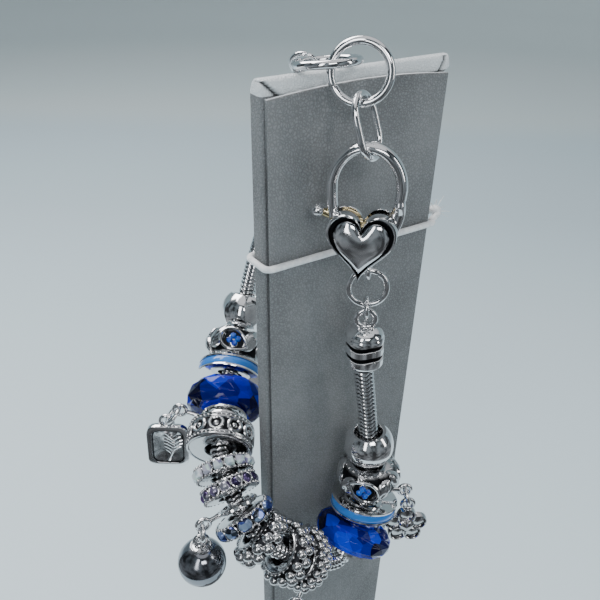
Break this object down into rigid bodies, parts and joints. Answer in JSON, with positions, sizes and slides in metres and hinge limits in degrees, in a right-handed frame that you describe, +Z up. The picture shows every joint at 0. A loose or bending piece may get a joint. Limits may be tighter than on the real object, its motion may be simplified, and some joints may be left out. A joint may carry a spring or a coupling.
{
  "type": "charm bracelet on display stand",
  "caption": "Snake chain bracelet with heart lobster clasp, bored beads and hanging charms, hung on an upright padded display board with a flat foot",
  "frame": {"origin": "middle of the stand's foot, on the surface it rests on", "axes": "+Z up along the board, -Y the way the board's face looks, +X along the board's width"},
  "size_m": [0.0562, 0.0456, 0.1529],
  "materials": {
    "stand_base": "fine pebbled grey leatherette",
    "stand_board": "fine pebbled grey leatherette",
    "stand_front_panel": "fine pebbled grey leatherette",
    "elastic_band": "soft white elastic cord",
    "clasp_body": "polished silver-coloured metal",
    "clasp_lever": "polished silver-coloured metal",
    "ring_front": "polished silver-coloured metal",
    "ring_rear": "polished silver-coloured metal",
    "oval_link": "polished silver-coloured metal",
    "clasp_ring": "polished silver-coloured metal",
    "cap_link_front": "polished silver-coloured metal",
    "end_cap_front": "polished silver-coloured metal",
    "cap_link_rear": "polished silver-coloured metal",
    "end_cap_rear": "polished silver-coloured metal",
    "snake_chain": "polished silver-coloured metal",
    "ball_bead_front": "polished silver-coloured metal",
    "leaf_bead_front": "polished cast metal with darkened recesses",
    "flower_bail": "polished silver-coloured metal",
    "flower_ring": "polished silver-coloured metal",
    "flower_charm": "polished cast metal with darkened recesses",
    "enamel_bead_front": "glossy light blue enamel between silver rims",
    "glass_bead_front": "faceted cobalt glass",
    "glass_core_front": "polished silver-coloured metal",
    "bottom_bail": "polished silver-coloured metal",
    "bottom_ring": "polished silver-coloured metal",
    "bottom_charm": "polished silver-coloured metal",
    "granule_bead_1": "polished cast metal with darkened recesses",
    "granule_bead_2": "polished cast metal with darkened recesses",
    "berry_bead": "polished cast metal with darkened recesses",
    "ball_charm_bail": "polished silver-coloured metal",
    "ball_charm_ring": "polished silver-coloured metal",
    "ball_charm": "polished silver-coloured metal",
    "crystal_rondelle": "polished cast metal with darkened recesses",
    "cabochon_rondelle": "polished cast metal with darkened recesses",
    "square_stone_rondelle": "polished cast metal with darkened recesses",
    "circle_bead": "polished cast metal with darkened recesses",
    "plate_bail": "polished silver-coloured metal",
    "plate_ring": "polished silver-coloured metal",
    "plate_charm": "polished silver-coloured metal",
    "glass_bead_rear": "faceted cobalt glass",
    "glass_core_rear": "polished silver-coloured metal",
    "enamel_bead_rear": "glossy light blue enamel between silver rims",
    "leaf_bead_rear": "polished cast metal with darkened recesses",
    "ball_bead_rear": "polished silver-coloured metal"
  },
  "bodies": {
    "bracelet_and_stand": {"stand_base": "stand_base", "stand_board": "stand_board", "stand_front_panel": "stand_front_panel", "elastic_band": "elastic_band", "clasp_body": "clasp_body", "ring_front": "ring_front", "ring_rear": "ring_rear", "oval_link": "oval_link", "clasp_ring": "clasp_ring", "cap_link_front": "cap_link_front", "end_cap_front": "end_cap_front", "cap_link_rear": "cap_link_rear", "end_cap_rear": "end_cap_rear", "snake_chain": "snake_chain", "ball_bead_front": "ball_bead_front", "leaf_bead_front": "leaf_bead_front", "flower_bail": "flower_bail", "flower_ring": "flower_ring", "flower_charm": "flower_charm", "enamel_bead_front": "enamel_bead_front", "glass_bead_front": "glass_bead_front", "glass_core_front": "glass_core_front", "bottom_bail": "bottom_bail", "bottom_ring": "bottom_ring", "bottom_charm": "bottom_charm", "granule_bead_1": "granule_bead_1", "granule_bead_2": "granule_bead_2", "berry_bead": "berry_bead", "ball_charm_bail": "ball_charm_bail", "ball_charm_ring": "ball_charm_ring", "ball_charm": "ball_charm", "crystal_rondelle": "crystal_rondelle", "cabochon_rondelle": "cabochon_rondelle", "square_stone_rondelle": "square_stone_rondelle", "circle_bead": "circle_bead", "plate_bail": "plate_bail", "plate_ring": "plate_ring", "plate_charm": "plate_charm", "glass_bead_rear": "glass_bead_rear", "glass_core_rear": "glass_core_rear", "enamel_bead_rear": "enamel_bead_rear", "leaf_bead_rear": "leaf_bead_rear", "ball_bead_rear": "ball_bead_rear"},
    "clasp_lever": {"clasp_lever": "clasp_lever"}
  },
  "joints": [
    {"name": "clasp_lever", "type": "hinge", "parent": "bracelet_and_stand", "child": "clasp_lever", "pos_m": [-0.0023, -0.0097, 0.129], "axis": [-0.7071, -0.7071, 0], "range_deg": [0, 25], "stiffness_Nm_per_rad": 0.002, "springref_deg": -20.05}
  ]
}
